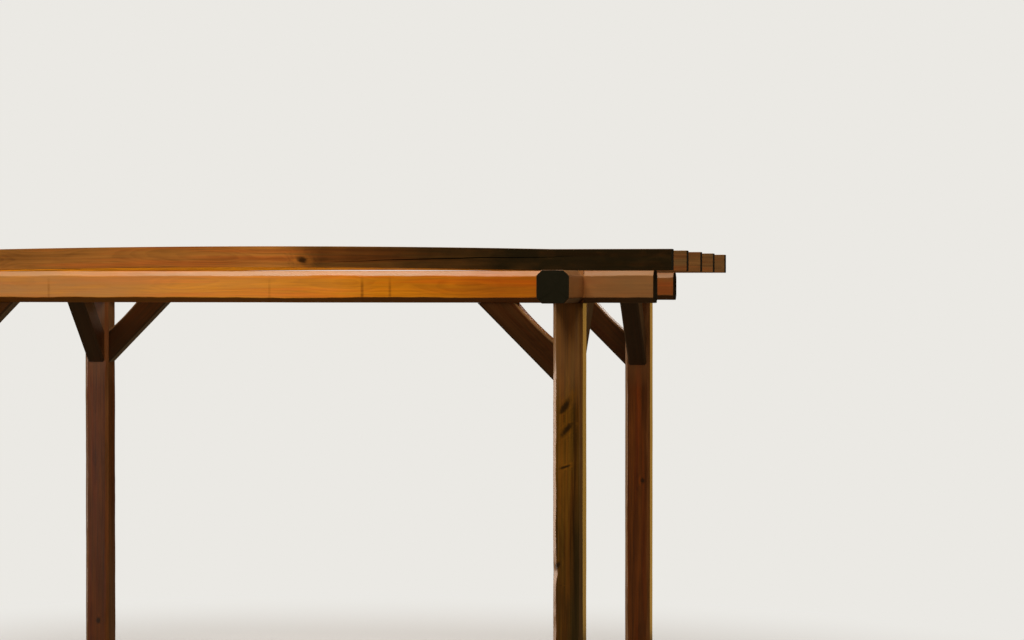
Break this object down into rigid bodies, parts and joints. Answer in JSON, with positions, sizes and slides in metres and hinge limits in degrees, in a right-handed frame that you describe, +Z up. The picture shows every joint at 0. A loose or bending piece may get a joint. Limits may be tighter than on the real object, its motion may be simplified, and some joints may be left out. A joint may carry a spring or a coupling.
{
  "type": "wooden pergola",
  "caption": "Free-standing timber pergola: four chamfered posts, a ring of half-lapped beams, curved knee braces at every corner and rafters laid on top.",
  "frame": {"origin": "on the ground at the middle of the plan", "axes": "+X along the front to the right, +Y from the front to the back, +Z up"},
  "size_m": [4.1, 3.36, 2.4668],
  "materials": {
    "post_wood": "dark brown stain",
    "beam_wood": "honey orange stain",
    "rafter_wood": "dark brown stain",
    "brace_wood": "red-brown stain"
  },
  "bodies": {
    "root": {"beam_back": "beam_wood", "beam_front": "beam_wood", "beam_left": "beam_wood", "beam_right": "beam_wood", "brace_back_left": "brace_wood", "brace_back_right": "brace_wood", "brace_front_left": "brace_wood", "brace_front_right": "brace_wood", "post_back_left": "post_wood", "post_back_right": "post_wood", "post_front_left": "post_wood", "post_front_right": "post_wood", "rafter_1": "rafter_wood", "rafter_2": "rafter_wood", "rafter_3": "rafter_wood", "rafter_4": "rafter_wood", "rafter_5": "rafter_wood", "side_brace_back_left": "brace_wood", "side_brace_back_right": "brace_wood", "side_brace_front_left": "brace_wood", "side_brace_front_right": "brace_wood"}
  },
  "joints": []
}
